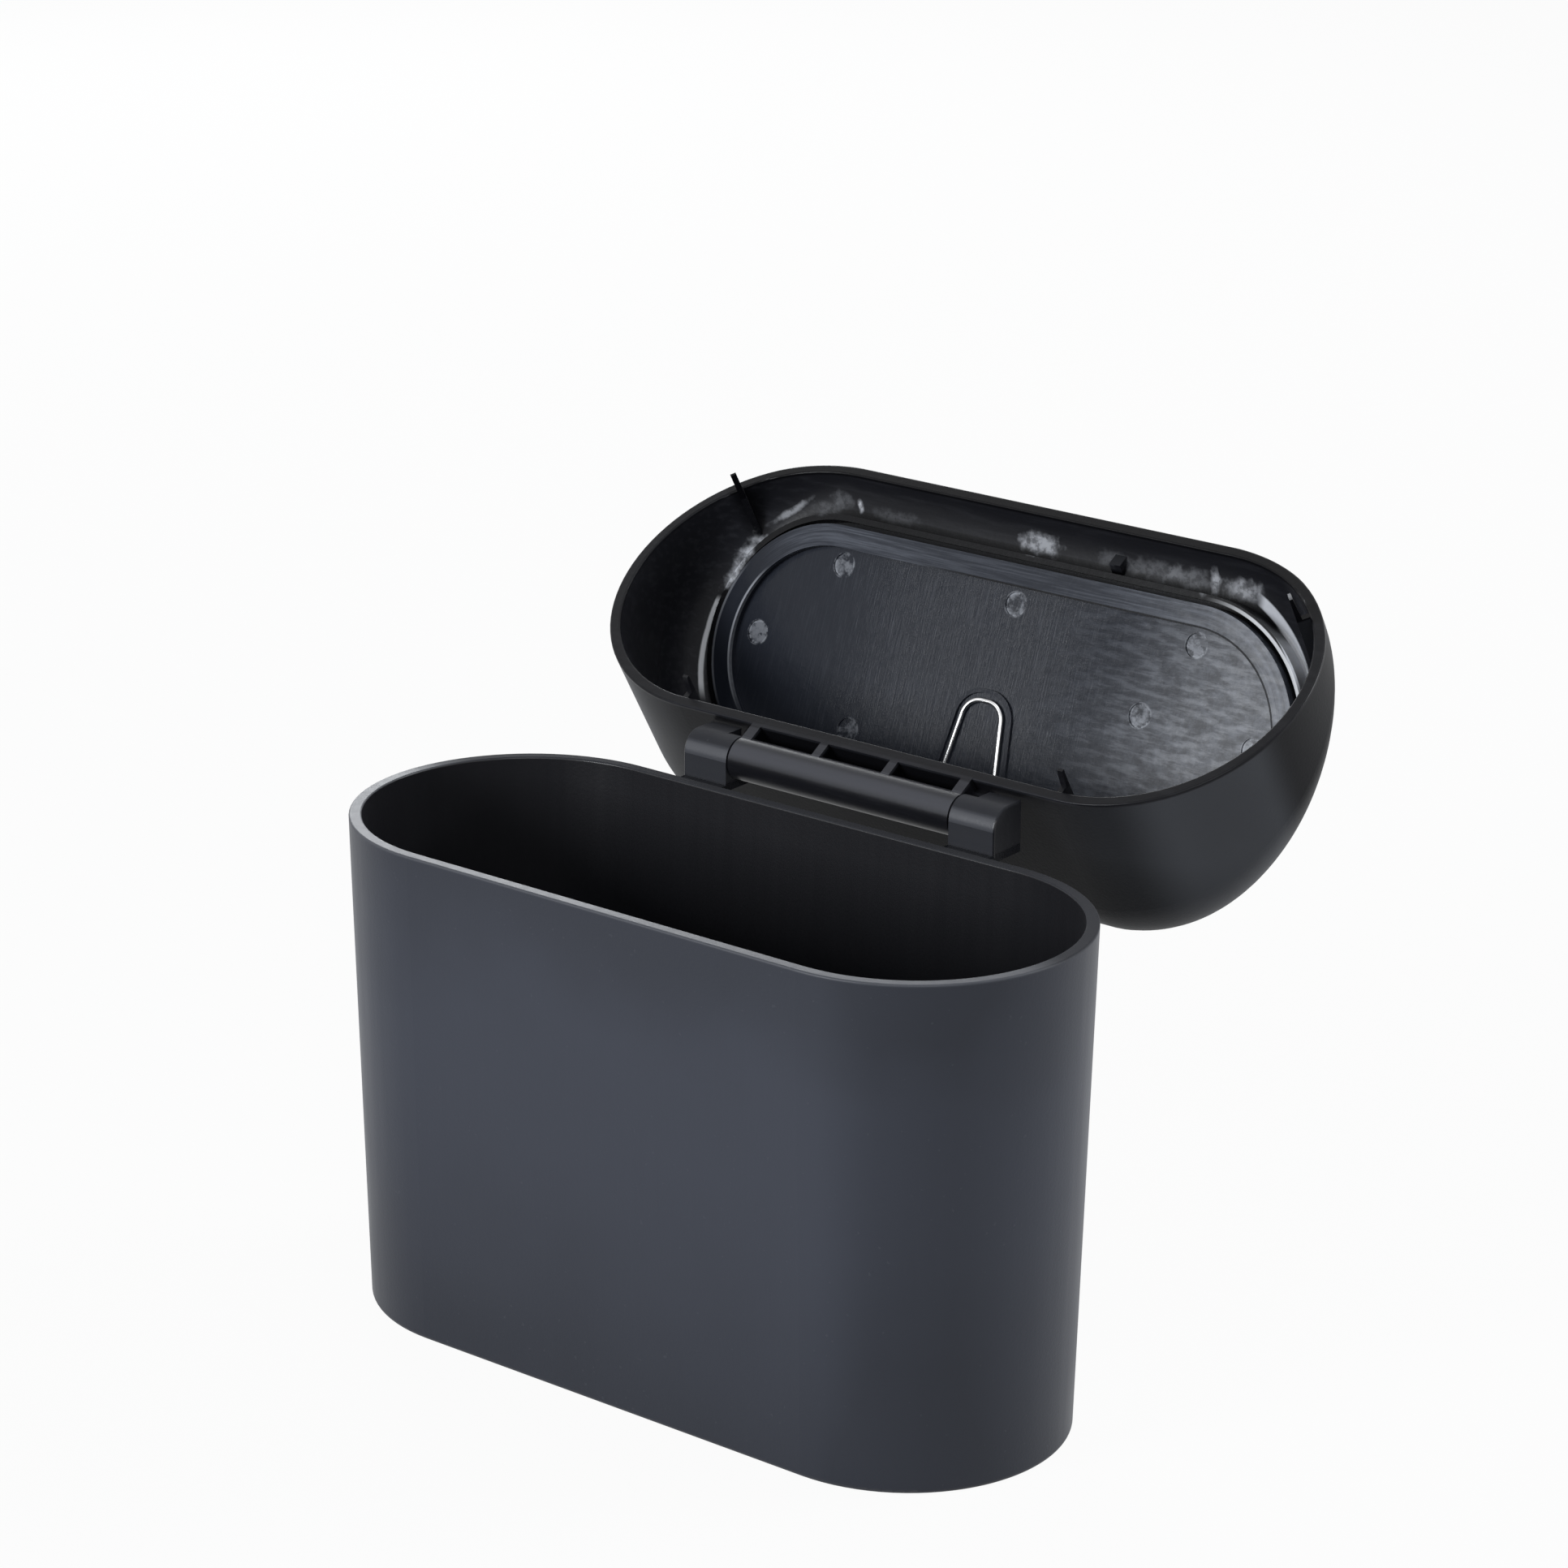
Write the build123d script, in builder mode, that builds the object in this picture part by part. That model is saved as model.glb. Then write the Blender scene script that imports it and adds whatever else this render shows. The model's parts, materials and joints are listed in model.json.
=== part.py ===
from build123d import *
import os
from math import cos, radians, sin, tan

# Small car bin with a hinged lid and a sprung press flap. Millimetres, +Z up, +Y to the hinge side,
# origin at the centre of the base. The lid stands open, at the stop of its hinge.

# Bin body: a tapered stadium-shaped cup
body_length = 160.0
body_width = 68.0
body_height = 100.0
body_draft = 1.43  # degrees, the wall widens upwards
body_wall = 2.5
body_floor = 4.5
base_edge = 1.2  # rounding under the wall
floor_round = 3.0  # rounding inside, where the wall meets the floor
rim_edge = 0.4

# Lid hinge: two knuckles behind the rear wall, one barrel on the lid, one steel pin
hinge_back = 7.1  # pin axis behind the rear wall
hinge_up = 3.85  # pin axis above the bin's rim
open_angle = 149.1  # degrees from closed to the open stop
knuckle_inner = 26.9  # from the middle to the inner end of a knuckle
knuckle_width = 10.6
knuckle_radius = 4.2
knuckle_rear = 4.6  # pin axis to the flat rear face
knuckle_root = 2.1  # depth of the shelf below the rim
shelf_drop = 0.8  # top of the shelf below the rim
knuckle_edge = 0.4
gusset_width = 4.0  # web under each knuckle
gusset_drop = 9.0
gusset_setback = 2.0
pin_diameter = 3.0
pin_end_wall = 2.0  # closed end of the right knuckle
pin_setback = 0.3  # pin ends behind the faces
fixed_fit = 0.02  # radial, pin in the piece that holds it
running_fit = 0.06  # radial, pin in the piece that turns
end_play = 0.4  # along a pin, between turning and fixed pieces

# Lid: a stadium-shaped helmet whose top slopes down to the front
rim_gap = 0.3  # closed lid above the bin's rim
lid_lap = 0.8  # lid's front and rear walls beyond the bin's, the ends are flush
lid_wall = 2.3
lid_round = 14.2  # rounding between the walls and the sloped top
lid_rim_edge = 0.4
top_angle = 38.5  # degrees
top_height = 32.4  # sloped top above the lid's rim, at mid width

# Hinge leaf: a box with open pockets between the lid's rear wall and the barrel
leaf_pockets = 3
leaf_height = 7.6
leaf_roof = 1.8
leaf_side = 2.3
leaf_rib = 1.9
leaf_plate = 0.4  # added to the rear wall in front of the pockets
stop_tab_width = 2.6
stop_tab_depth = 1.7
stop_tab_height = 1.8
stop_play = 0.25
notch_play = 0.55

# Locating fins inside the lid, which reach into the bin
fin_angle = 43.0  # degrees, front fins round the end of the lid
fin_thickness = 1.2
fin_depth = 2.6
front_fin_height = 14.0
front_fin_reach = 6.0  # below the lid's rim
rear_fin_height = 11.0
rear_fin_reach = 3.4
fin_gap = 0.5  # to the bin's inner wall
nub_offset = 19.5  # small nub inside the front wall
nub_height = 6.0
nub_size = 2.6

# Opening in the sloped top, its seat ring and the collar round the flap
opening_land = 4.8  # flat left in front of the opening
opening_overrun = 0.5  # opening beyond the flat, into the rear rounding
opening_end = 12.2  # end of the lid to the end of the opening
opening_chamfer = 1.0
seat_wall = 2.2
collar_wall = 1.2
collar_lip = 1.4  # collar ends short of the flap's inner face

# Press flap
flap_recess = 4.5  # flap's outer face below the sloped top
flap_wall = 1.5
flap_step = 2.0  # flap's panel set back from its band
flap_side_wall = 1.8
flap_edge = 0.8
band_wall = 1.9
band_lap = 2.1  # band beyond the opening
flap_gap = 0.6  # round the raised panel, in the opening
seat_gap = 0.3  # between the band and the seat ring
collar_gap = 1.0
mark_diameter = 5.0
mark_depth = 0.3
mark_places = [(-43, -18.4), (0, -18.4), (43, -18.4), (-60.5, -1.1), (60.5, -1.1), (34, -2.6), (-33, 14)]

# Flap hinge
flap_axis_back = 3.0  # behind the band
flap_knuckle_radius = 2.6
flap_knuckle_inner = 26.0
flap_knuckle_width = 7.6
ear_radius = 2.3
ear_width = 3.0
flap_pin_diameter = 2.4

# Flap spring: two coils on the flap's pin, a U-shaped loop on the flap and two short legs on the lid
wire = 1.0
coil_play = 0.35  # radial, coil round the pin
coil_turns = 6
coil_pitch = 0.95
spring_offset = -1.5  # middle of the spring from the middle of the flap
loop_spread = 8.0  # half width of the loop at the pin
loop_end = 4.3  # half width at its closed end
loop_bend = 4.0
loop_reach = 27.6  # pin axis to the end of the loop
loop_clear = 0.1  # loop above the flap's panel
leg_clear = 0.05
loop_guard_gap = 1.0
loop_guard_wall = 0.9
loop_guard_height = 0.6

# Places that follow from these
base_inset = body_height * tan(radians(body_draft))
base_length = body_length - 2 * base_inset
base_width = body_width - 2 * base_inset
floor_inset = base_inset - body_floor * tan(radians(body_draft)) + body_wall
lid_base = body_height + rim_gap
lid_width = body_width + 2 * lid_lap
lid_end_centre = (body_length - lid_width) / 2  # centres of the lid's rounded ends
lid_inner_radius = lid_width / 2 - lid_wall
fin_inset = lid_inner_radius - (body_width / 2 - body_wall) + fin_gap
axis_y = body_width / 2 + hinge_back
axis_z = body_height + hinge_up
hinge_axis = Axis((0, axis_y, axis_z), (1, 0, 0))
knuckle_outer = knuckle_inner + knuckle_width
barrel_half = knuckle_inner - end_play
shelf_bottom = body_height - knuckle_root
shelf_top = body_height - shelf_drop
wall_middle = body_width / 2 - body_wall / 2
pin_start = -knuckle_outer + pin_setback
pin_stop = knuckle_outer - pin_end_wall - pin_setback

# Sloped top: its flat lies between the roundings of the front and the rear wall
slope = radians(top_angle)
front_tangent = lid_round / tan(radians(90 + top_angle) / 2)
rear_tangent = lid_round / tan(radians(90 - top_angle) / 2)
flat_front = -lid_width / 2 / cos(slope) + front_tangent
flat_rear = lid_width / 2 / cos(slope) - rear_tangent
opening_front = flat_front + opening_land
opening_rear = flat_rear + opening_overrun
top_plane = Plane(origin=(0, 0, lid_base + top_height), x_dir=(1, 0, 0), z_dir=(0, -sin(slope), cos(slope)))
top_normal = Axis(top_plane.origin, top_plane.z_dir)
flap_origin = top_plane.from_local_coords((0, (opening_front + opening_rear) / 2, 0))
flap_plane = Plane(origin=flap_origin, x_dir=(1, 0, 0), z_dir=top_plane.z_dir)
dome_root = 2 * lid_round  # dome is made this much deeper, then cut at the rim
dome_rise = top_height + lid_width / 2 * tan(slope) + lid_round

opening_width = opening_rear - opening_front
opening_length = body_length - 2 * opening_end
panel_depth = flap_recess + flap_wall  # inner face of the panel below the sloped top
band_depth = panel_depth + flap_step  # inner face of the band
seat_depth = band_depth - band_wall - seat_gap
collar_depth = band_depth - collar_lip
band_width = opening_width + 2 * band_lap
band_length = opening_length + 2 * band_lap

coil_radius = flap_pin_diameter / 2 + coil_play + wire / 2
coil_length = coil_pitch * (coil_turns - 1)
loop_depth = panel_depth + loop_clear + wire / 2  # loop lies along the panel's inner face
flap_axis_s = band_width / 2 + flap_axis_back
flap_axis_depth = loop_depth + coil_radius
flap_axis_point = flap_plane.from_local_coords((0, flap_axis_s, -flap_axis_depth))
flap_axis = Axis(flap_axis_point, (1, 0, 0))
loop_corners = [(-loop_spread, 0), (-loop_end, -loop_reach), (loop_end, -loop_reach), (loop_spread, 0)]
flap_knuckle_outer = flap_knuckle_inner + flap_knuckle_width
ear_inner = flap_knuckle_outer + end_play
ear_outer = ear_inner + ear_width


def side_plane(point, x):
    """plane across the bin's length at x: its own x runs up the slope, its own y out of the sloped top"""
    return Plane(origin=(x, point.Y, point.Z), x_dir=flap_plane.y_dir, z_dir=(1, 0, 0))


def dome(inset):
    """solid under the lid's outer skin, moved in by inset and carried down past the rim"""
    with BuildPart() as solid:
        with BuildSketch(Plane.XY.offset(lid_base - dome_root)):
            SlotOverall(body_length - 2 * inset, lid_width - 2 * inset)
        extrude(amount=dome_root + dome_rise)
        split(bisect_by=top_plane.offset(-inset), keep=Keep.BOTTOM)
        top = solid.faces().sort_by(top_normal)[-1]
        fillet(top.edges(), lid_round - inset)
    return solid.part


# Bin body
with BuildPart() as bin_body:
    with BuildSketch():
        SlotOverall(base_length, base_width)
    extrude(amount=body_height, taper=-body_draft)
    fillet(bin_body.edges().group_by(Axis.Z)[0], base_edge)
    with BuildSketch(Plane.XY.offset(body_floor)) as cavity:
        SlotOverall(body_length - 2 * floor_inset, body_width - 2 * floor_inset)
    extrude(amount=body_height, taper=-body_draft, mode=Mode.SUBTRACT)
    rim_face = bin_body.faces().sort_by(Axis.Z)[-1]
    fillet(rim_face.edges(), rim_edge)
    floor_face = bin_body.faces().filter_by(Axis.Z).sort_by(Axis.Z)[1]
    fillet(floor_face.edges(), floor_round)
    for side in (-1, 1):
        middle = side * (knuckle_inner + knuckle_width / 2)
        with BuildSketch(Plane.YZ.offset(middle)) as knuckle:
            with BuildLine():
                crown = CenterArc((axis_y, axis_z), knuckle_radius, 90, 90)
                Polyline(
                    crown @ 1,
                    (axis_y - knuckle_radius, shelf_top),
                    (wall_middle, shelf_top),
                    (wall_middle, shelf_bottom),
                    (axis_y + knuckle_rear, shelf_bottom),
                    (axis_y + knuckle_rear, axis_z + knuckle_radius),
                    crown @ 0,
                )
            make_face()
        extrude(amount=knuckle_width / 2, both=True)
        with BuildSketch(Plane.YZ.offset(middle)) as gusset:
            with BuildLine():
                Polyline(
                    (wall_middle, shelf_top),
                    (axis_y + knuckle_rear - gusset_setback, shelf_bottom),
                    (wall_middle, shelf_bottom - gusset_drop),
                    close=True,
                )
            make_face()
        extrude(amount=gusset_width / 2, both=True)
        # seat of the lid's stop tab, cut into the inner end of the knuckle
        notch_width = stop_tab_width + notch_play
        notch_middle = side * (knuckle_inner + notch_width / 2)
        notch_size = knuckle_rear + 2 * knuckle_radius
        with BuildSketch(Plane.YZ.offset(notch_middle)) as notch:
            with Locations(Location((axis_y, axis_z), 180 - open_angle)):
                with Locations((0, -stop_tab_height / 2 - stop_play)):
                    Rectangle(notch_size, notch_size, align=(Align.MIN, Align.MIN))
            with Locations((axis_y, axis_z)):
                Circle(knuckle_radius, mode=Mode.SUBTRACT)
        extrude(amount=notch_width / 2, both=True, mode=Mode.SUBTRACT)
    end_faces = bin_body.faces().filter_by(Axis.X).sort_by(Axis.X)
    end_edges = end_faces[0].edges() + end_faces[-1].edges()
    fillet(end_edges.filter_by_position(Axis.Z, shelf_top, axis_z + knuckle_radius), knuckle_edge)
    with BuildSketch(Plane.YZ.offset(-knuckle_outer)) as pin_hole:
        with Locations((axis_y, axis_z)):
            Circle(pin_diameter / 2 + fixed_fit)
    extrude(amount=2 * knuckle_outer - pin_end_wall, mode=Mode.SUBTRACT)

bin_body.part.label = "bin_body"

# Steel pin of the lid hinge
with BuildPart() as lid_hinge_pin:
    with BuildSketch(Plane.YZ.offset(pin_start)):
        with Locations((axis_y, axis_z)):
            Circle(pin_diameter / 2)
    extrude(amount=pin_stop - pin_start)
    chamfer(lid_hinge_pin.edges(), pin_setback)

lid_hinge_pin.part.label = "lid_hinge_pin"

# What stands inside the lid, trimmed by its outer skin
with BuildPart() as lid_fittings:
    # seat ring, still filled
    with BuildSketch(flap_plane.offset(-seat_depth)):
        SlotOverall(opening_length + 2 * seat_wall, opening_width + 2 * seat_wall)
    extrude(amount=seat_depth)
    # collar round the band, open at the flap's hinge
    with BuildSketch(flap_plane.offset(-collar_depth)):
        SlotOverall(
            band_length + 2 * (collar_gap + collar_wall),
            band_width + 2 * (collar_gap + collar_wall),
        )
        SlotOverall(band_length + 2 * collar_gap, band_width + 2 * collar_gap, mode=Mode.SUBTRACT)
        with Locations((0, band_width / 2)):
            Rectangle(2 * (ear_outer + collar_wall), 2 * flap_axis_back, mode=Mode.SUBTRACT)
    extrude(amount=collar_depth)
    # ears that hold the flap's pin, webs that run back to the rear wall
    for side in (-1, 1):
        with BuildSketch(side_plane(flap_axis_point, side * (ear_inner + ear_width / 2))):
            Circle(ear_radius)
            Rectangle(lid_round, ear_radius, align=(Align.MIN, Align.MAX))
            with Locations((-ear_radius, 0)):
                Rectangle(ear_radius + lid_round, band_depth, align=(Align.MIN, Align.MIN))
        extrude(amount=ear_width / 2, both=True)
    with BuildSketch(side_plane(flap_axis_point, -ear_outer)):
        Circle(flap_pin_diameter / 2 + fixed_fit)
    extrude(amount=2 * ear_outer, mode=Mode.SUBTRACT)
    # locating fins on the inner wall
    front_fin = (-fin_angle, front_fin_height, front_fin_reach)
    rear_fin = (90, rear_fin_height, rear_fin_reach)
    for side in (-1, 1):
        for angle, fin_height, fin_reach in (front_fin, rear_fin):
            outward = Vector(side * cos(radians(angle)), sin(radians(angle)), 0)
            foot = Vector(side * lid_end_centre, 0, lid_base) + outward * lid_inner_radius
            fin_plane = Plane(origin=foot, x_dir=-outward, z_dir=(-outward).cross(Vector(0, 0, 1)))
            with BuildSketch(fin_plane):
                with BuildLine():
                    Polyline(
                        (-lid_wall / 2, rim_gap),
                        (fin_inset, rim_gap),
                        (fin_depth - fin_thickness / 2, -fin_reach),
                        (fin_depth, -fin_reach),
                        (fin_depth, fin_height),
                        (-lid_wall / 2, fin_height),
                        close=True,
                    )
                make_face()
            extrude(amount=fin_thickness / 2, both=True)
    # nub inside the front wall
    with BuildSketch(Plane.XY.offset(lid_base + nub_height - nub_size / 2)):
        with Locations((nub_offset, -lid_inner_radius)):
            Rectangle(nub_size, 2 * (lid_wall + nub_size))
    extrude(amount=nub_size)
    add(dome(lid_wall / 4), mode=Mode.INTERSECT)

# Lid, modelled closed on the bin
with BuildPart() as lid_closed:
    add(dome(0))
    add(dome(lid_wall), mode=Mode.SUBTRACT)
    split(bisect_by=Plane.XY.offset(lid_base), keep=Keep.TOP)
    rim_face = lid_closed.faces().sort_by(Axis.Z)[0]
    fillet(rim_face.edges(), lid_rim_edge)
    add(lid_fittings.part)
    # opening with a chamfered edge
    with BuildSketch(flap_plane):
        SlotOverall(opening_length, opening_width)
    extrude(amount=2 * seat_depth, both=True, mode=Mode.SUBTRACT)
    with BuildSketch(flap_plane.offset(-opening_chamfer)):
        SlotOverall(opening_length, opening_width)
    extrude(amount=2 * opening_chamfer, taper=-45, mode=Mode.SUBTRACT)
    # hinge leaf with its pockets, open towards the rim
    leaf_depth = axis_y - lid_width / 2
    with BuildSketch(Plane.XY.offset(lid_base)):
        with Locations((0, axis_y)):
            Rectangle(2 * barrel_half, leaf_depth + lid_wall / 2, align=(Align.CENTER, Align.MAX))
    extrude(amount=leaf_height)
    pocket_width = (2 * barrel_half - 2 * leaf_side - (leaf_pockets - 1) * leaf_rib) / leaf_pockets
    with BuildSketch(Plane.XY.offset(lid_base)):
        with Locations((0, axis_y - (leaf_depth - leaf_plate) / 2)):
            with GridLocations(pocket_width + leaf_rib, 0, leaf_pockets, 1):
                Rectangle(pocket_width, leaf_depth - leaf_plate)
    extrude(amount=leaf_height - leaf_roof, mode=Mode.SUBTRACT)
    with BuildSketch(Plane.YZ):
        with Locations((axis_y, axis_z)):
            Circle(knuckle_radius)
    extrude(amount=barrel_half, both=True)
    # stop tabs beside the leaf
    for side in (-1, 1):
        with BuildSketch(Plane.YZ.offset(side * (barrel_half - leaf_side))):
            with Locations((axis_y - knuckle_radius - notch_play, axis_z)):
                Rectangle(stop_tab_depth, stop_tab_height, align=(Align.MAX, Align.CENTER))
        extrude(amount=side * (leaf_side + stop_tab_width))
    with BuildSketch(Plane.YZ):
        with Locations((axis_y, axis_z)):
            Circle(pin_diameter / 2 + running_fit)
    extrude(amount=2 * barrel_half, both=True, mode=Mode.SUBTRACT)

# Press flap, modelled closed
with BuildPart() as flap_closed:
    with BuildSketch(flap_plane.offset(-band_depth)):
        SlotOverall(opening_length - 2 * flap_gap, opening_width - 2 * flap_gap)
    extrude(amount=band_depth - flap_recess)
    fillet(flap_closed.edges().group_by(top_normal)[-1], flap_edge)
    with BuildSketch(flap_plane.offset(-band_depth)):
        SlotOverall(band_length, band_width)
    extrude(amount=band_wall)
    panel_inset = flap_gap + flap_side_wall
    with BuildSketch(flap_plane.offset(-band_depth)):
        SlotOverall(opening_length - 2 * panel_inset, opening_width - 2 * panel_inset)
    extrude(amount=flap_step, mode=Mode.SUBTRACT)
    # slot through the band for the spring's loop
    guard_inner = wire / 2 + loop_guard_gap
    guard_outer = guard_inner + loop_guard_wall
    with BuildSketch(flap_plane.offset(-band_depth)):
        with Locations((spring_offset, opening_width / 2 - panel_inset - flap_side_wall)):
            Rectangle(2 * (loop_spread + guard_inner), band_width, align=(Align.CENTER, Align.MIN))
    extrude(amount=flap_step, mode=Mode.SUBTRACT)
    # guard wall round the spring's loop
    with BuildSketch(flap_plane.offset(-panel_depth)):
        with BuildSketch(Plane.XY, mode=Mode.PRIVATE) as loop_face:
            with BuildLine():
                Polyline(*loop_corners, close=True)
            make_face()
            fillet(loop_face.vertices().sort_by(Axis.Y)[:2], loop_bend)
        with Locations((spring_offset, flap_axis_s)):
            add(offset(loop_face.face(), guard_outer, mode=Mode.PRIVATE))
            add(offset(loop_face.face(), guard_inner, mode=Mode.PRIVATE), mode=Mode.SUBTRACT)
        SlotOverall(
            opening_length - 2 * panel_inset,
            opening_width - 2 * panel_inset,
            mode=Mode.INTERSECT,
        )
    extrude(amount=-loop_guard_height)
    # shallow round marks on the inner face
    with BuildSketch(flap_plane.offset(-panel_depth)):
        with Locations(*mark_places):
            Circle(mark_diameter / 2)
    extrude(amount=mark_depth, mode=Mode.SUBTRACT)
    # knuckles behind the band
    for side in (-1, 1):
        knuckle_middle = side * (flap_knuckle_inner + flap_knuckle_width / 2)
        with BuildSketch(side_plane(flap_axis_point, knuckle_middle)):
            Circle(flap_knuckle_radius)
            with Locations((0, flap_axis_depth - band_depth)):
                Rectangle(flap_axis_back + band_lap / 2, band_wall, align=(Align.MAX, Align.MIN))
        extrude(amount=flap_knuckle_width / 2, both=True)
    with BuildSketch(side_plane(flap_axis_point, 0)):
        Circle(flap_pin_diameter / 2 + running_fit)
    extrude(amount=flap_knuckle_outer, both=True, mode=Mode.SUBTRACT)

# Steel pin of the flap
with BuildPart() as flap_pin_closed:
    with BuildSketch(side_plane(flap_axis_point, 0)):
        Circle(flap_pin_diameter / 2)
    extrude(amount=ear_outer - pin_setback, both=True)
    chamfer(flap_pin_closed.edges(), pin_setback)

# Flap spring: the loop leaves the outer side of the coils and lies along the panel
with BuildPart() as spring_closed:
    loop_origin = flap_plane.from_local_coords((spring_offset, flap_axis_s, -loop_depth))
    with BuildLine(Plane(origin=loop_origin, x_dir=(1, 0, 0), z_dir=flap_plane.z_dir)) as loop_path:
        FilletPolyline(*loop_corners, radius=loop_bend)
    with BuildSketch(Plane(origin=loop_path.line @ 0, z_dir=loop_path.line % 0)):
        Circle(wire / 2)
    sweep()
    for side in (-1, 1):
        coil_start = spring_offset + side * loop_spread
        coil_end = coil_start + side * coil_length
        coil_plane = Plane(origin=(0, *tuple(flap_axis_point)[1:]), x_dir=(1, 0, 0), z_dir=(0, -1, 0))
        # close-wound turns, side by side along the pin
        with BuildSketch(coil_plane):
            coil_places = [(coil_start + side * turn * coil_pitch, coil_radius) for turn in range(coil_turns)]
            with Locations(*coil_places):
                Circle(wire / 2)
        revolve(axis=flap_axis)
        # leg from the last turn to the dome's inner face
        dome_centre_y = lid_width / 2 - lid_round
        dome_centre_z = top_plane.origin.Z + dome_centre_y * tan(slope) - lid_round / cos(slope)
        leg_height = flap_axis_point.Z + coil_radius
        leg_room = lid_round - lid_wall - wire / 2 - leg_clear
        leg_end = dome_centre_y + (leg_room**2 - (leg_height - dome_centre_z) ** 2) ** 0.5
        with BuildSketch(Plane(origin=(coil_end, flap_axis_point.Y, leg_height), z_dir=(0, 1, 0))):
            Circle(wire / 2)
        extrude(amount=leg_end - flap_axis_point.Y - wire / 2)

# The lid with its flap, pin and spring, swung open about the hinge pin
with BuildPart() as lid_shell:
    add(lid_closed.part.rotate(hinge_axis, -open_angle))

lid_shell.part.label = "lid_shell"

with BuildPart() as press_flap:
    add(flap_closed.part.rotate(hinge_axis, -open_angle))

press_flap.part.label = "press_flap"

with BuildPart() as flap_hinge_pin:
    add(flap_pin_closed.part.rotate(hinge_axis, -open_angle))

flap_hinge_pin.part.label = "flap_hinge_pin"

with BuildPart() as flap_spring:
    add(spring_closed.part.rotate(hinge_axis, -open_angle))

flap_spring.part.label = "flap_spring"

os.makedirs("parts", exist_ok=True)
export_step(bin_body.part, "parts/bin_body.step")
export_step(lid_hinge_pin.part, "parts/lid_hinge_pin.step")
export_step(lid_shell.part, "parts/lid_shell.step")
export_step(press_flap.part, "parts/press_flap.step")
export_step(flap_hinge_pin.part, "parts/flap_hinge_pin.step")
export_step(flap_spring.part, "parts/flap_spring.step")
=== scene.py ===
import json
import math

import bpy
import numpy as np
from mathutils import Matrix, Vector


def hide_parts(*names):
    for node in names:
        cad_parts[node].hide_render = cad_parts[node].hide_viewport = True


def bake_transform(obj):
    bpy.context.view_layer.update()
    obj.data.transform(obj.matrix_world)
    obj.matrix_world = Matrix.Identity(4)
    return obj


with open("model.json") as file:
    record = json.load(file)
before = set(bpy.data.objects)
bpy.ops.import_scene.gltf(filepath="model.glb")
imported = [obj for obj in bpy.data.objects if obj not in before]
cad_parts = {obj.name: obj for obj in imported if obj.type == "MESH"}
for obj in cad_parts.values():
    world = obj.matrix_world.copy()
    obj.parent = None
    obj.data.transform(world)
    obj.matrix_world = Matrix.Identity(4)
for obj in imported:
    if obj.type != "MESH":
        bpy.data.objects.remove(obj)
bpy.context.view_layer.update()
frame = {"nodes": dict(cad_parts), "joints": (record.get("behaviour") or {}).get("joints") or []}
nodes = frame["nodes"]
mm = 1000  # the frame is in metres, the paint works in mm
print("frame loaded:", ", ".join(sorted(nodes)))


class Val:
    # one value in a material: + - and * on it add Math nodes, so that a mask reads as plain sums
    def __init__(self, socket):
        self.socket = socket

    def maths(self, operation, first, second=0.0):
        made = self.socket.id_data.nodes.new("ShaderNodeMath")
        made.operation = operation
        plug(made.inputs[0], first)
        plug(made.inputs[1], second)
        return Val(made.outputs[0])

    def __add__(self, other):
        return self.maths("ADD", self, other)

    def __radd__(self, other):
        return self.maths("ADD", other, self)

    def __sub__(self, other):
        return self.maths("SUBTRACT", self, other)

    def __rsub__(self, other):
        return self.maths("SUBTRACT", other, self)

    def __mul__(self, other):
        return self.maths("MULTIPLY", self, other)

    def __rmul__(self, other):
        return self.maths("MULTIPLY", other, self)

    def absolute(self):
        return self.maths("ABSOLUTE", self)

    def clamp(self, low=0, high=1):
        return self.maths("MINIMUM", self.maths("MAXIMUM", self, low), high)


def plug(slot, value):
    # links a socket, or sets a plain number, colour or vector
    if isinstance(value, Val):
        slot.id_data.links.new(value.socket, slot)
    else:
        slot.default_value = value


class NodeTree:
    # node() adds any node that is not plain arithmetic
    def __init__(self, tree):
        self.tree = tree

    def node(self, kind, settings, values, out=0):
        # out is the number of the output that is wanted, or None for all of them by name
        made = self.tree.nodes.new("ShaderNode" + kind)
        for key, value in settings.items():
            setattr(made, key, value)
        for key, value in values.items():
            plug(made.inputs[key], value)
        if out is None:
            return {socket.name: Val(socket) for socket in made.outputs}
        return Val(made.outputs[out])

    def own(self, kind):
        # the node of this type that the tree came with
        return next(node for node in self.tree.nodes if node.type == kind)

    def whiteRays(self):
        # 1 for rays from the camera, and 1 for glossy and transmission rays: they see the white studio
        rays = self.node("LightPath", {}, {}, out=None)
        return rays["Is Camera Ray"], rays["Is Glossy Ray"] + rays["Is Transmission Ray"]


class Finish(NodeTree):
    # one material and its shader
    def __init__(self, name, **settings):
        self.material = bpy.data.materials.new(name)
        self.material.use_nodes = True
        super().__init__(self.material.node_tree)
        self.shader = self.own("BSDF_PRINCIPLED")
        for socket, value in settings.items():
            self.shader.inputs[socket.replace("_", " ")].default_value = value

    def feed(self, socket, value):
        plug(self.shader.inputs[socket], value)

    def bump(self, height, distance):
        # height 1 stands distance metres proud
        values = {"Height": height, "Distance": distance, "Strength": 1.0}
        self.feed("Normal", self.node("Bump", {}, values))

    def mix(self, mask, first, second):
        # colour that goes from first to second as the mask rises
        return self.node("Mix", {"data_type": "RGBA"}, {0: mask, 6: first, 7: second}, out=2)


def rgb(red, green, blue):
    return (red, green, blue, 1)


def addObject(name, data):
    made = bpy.data.objects.new(name, data)
    bpy.context.scene.collection.objects.link(made)
    return made


# camera at the photograph's viewing angle
cameraSet = {
    "place": (0.542128, -0.668875, 0.411941),
    "azimuth": 38.16,
    "elevation": 19.01,
    "roll": 0.385,
    "lens": 113.12,
    "sensor": 36.0,
}


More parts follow.
